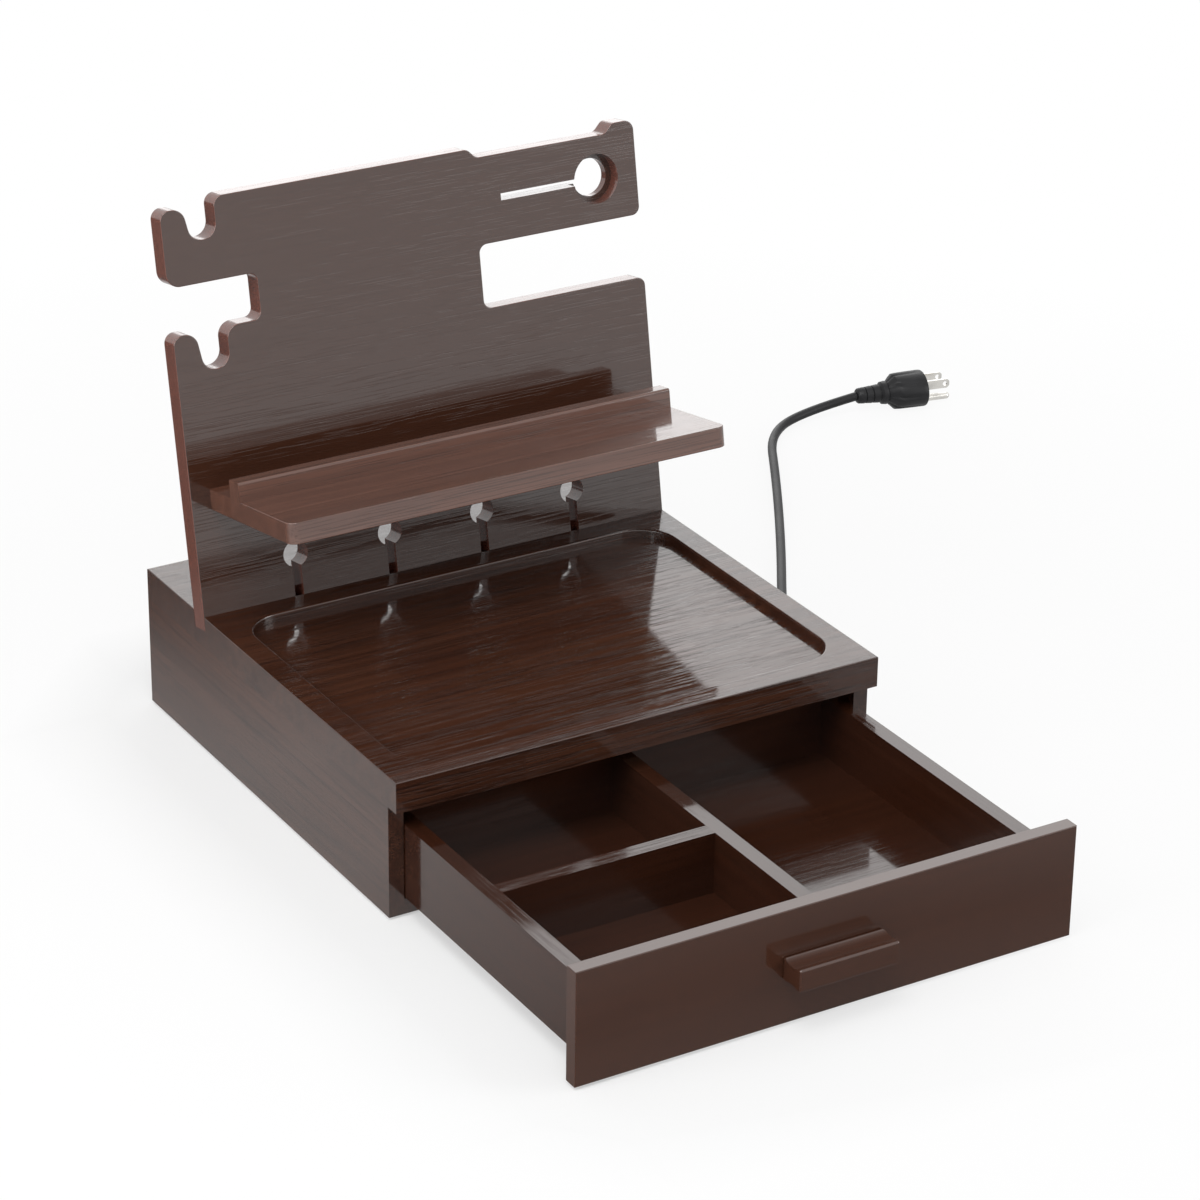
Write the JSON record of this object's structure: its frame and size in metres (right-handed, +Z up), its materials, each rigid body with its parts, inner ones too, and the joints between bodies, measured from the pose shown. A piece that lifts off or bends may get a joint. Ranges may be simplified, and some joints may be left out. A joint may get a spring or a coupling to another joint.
{
  "type": "valet box with drawer",
  "caption": "Desktop valet box: a trayed case with one drawer, a leaning board with hooks, slots and a jewellery shelf, and a rear outlet module with a power cord.",
  "frame": {"origin": "centre of the case's footprint, on the surface that it stands on", "axes": "+X to the user's right, +Y to the back, away from the drawer's front, +Z up"},
  "size_m": [0.6668, 0.6669, 0.3154],
  "materials": {
    "lacquered_wood": "espresso stain under a high-gloss clear lacquer, brushed horizontal grain",
    "drawer_wood": "red-brown stain under gloss lacquer",
    "bare_board": "stained solid-core board, satin",
    "beech": "plain turned beech, matt",
    "felt": "black needle felt",
    "glide_plastic": "slick nylon strip",
    "steel": "zinc-plated screw steel",
    "brass": "satin brass strip",
    "module_plastic": "black moulded plastic, fine texture",
    "outlet_plastic": "black moulded plastic, smooth",
    "usb_tongue": "blue moulded plastic",
    "circuit": "green circuit board",
    "cord_rubber": "black flexible jacket, satin",
    "plug_metal": "nickel-plated blades"
  },
  "bodies": {
    "case": {"top_panel": "lacquered_wood", "left_side": "lacquered_wood", "right_side": "lacquered_wood", "bottom_panel": "lacquered_wood", "back_panel": "lacquered_wood", "base_pad": "felt", "left_glide": "glide_plastic", "right_glide": "glide_plastic", "left_kicker": "bare_board", "right_kicker": "bare_board", "stop_cleat": "bare_board", "top_dowels": "beech", "base_dowels": "beech", "back_dowels": "beech", "upright_board": "lacquered_wood", "board_screws": "steel", "device_shelf": "lacquered_wood", "shelf_screws": "steel", "module_housing": "module_plastic", "module_plate": "module_plastic", "plate_screws": "steel", "outlet_1": "outlet_plastic", "outlet_2": "outlet_plastic", "usb_shells": "steel", "usb_tongues": "usb_tongue", "circuit_board": "circuit", "strain_relief": "cord_rubber", "power_cord_lead": "cord_rubber", "power_cord_coil": "cord_rubber", "power_cord_run": "cord_rubber", "plug_body": "cord_rubber", "plug_blades": "plug_metal", "plug_ground_pin": "plug_metal"},
    "drawer": {"drawer_front": "lacquered_wood", "drawer_handle": "lacquered_wood", "handle_screws": "steel", "drawer_left_wall": "drawer_wood", "drawer_right_wall": "drawer_wood", "drawer_back_wall": "drawer_wood", "drawer_floor": "drawer_wood", "long_divider": "drawer_wood", "cross_divider": "drawer_wood", "stop_tab": "brass", "stop_screw": "steel"}
  },
  "joints": [
    {"name": "drawer_slide", "type": "slide", "parent": "case", "child": "drawer", "axis": [0, -1, 0], "range_m": [-0.1828, 0.0067]}
  ]
}
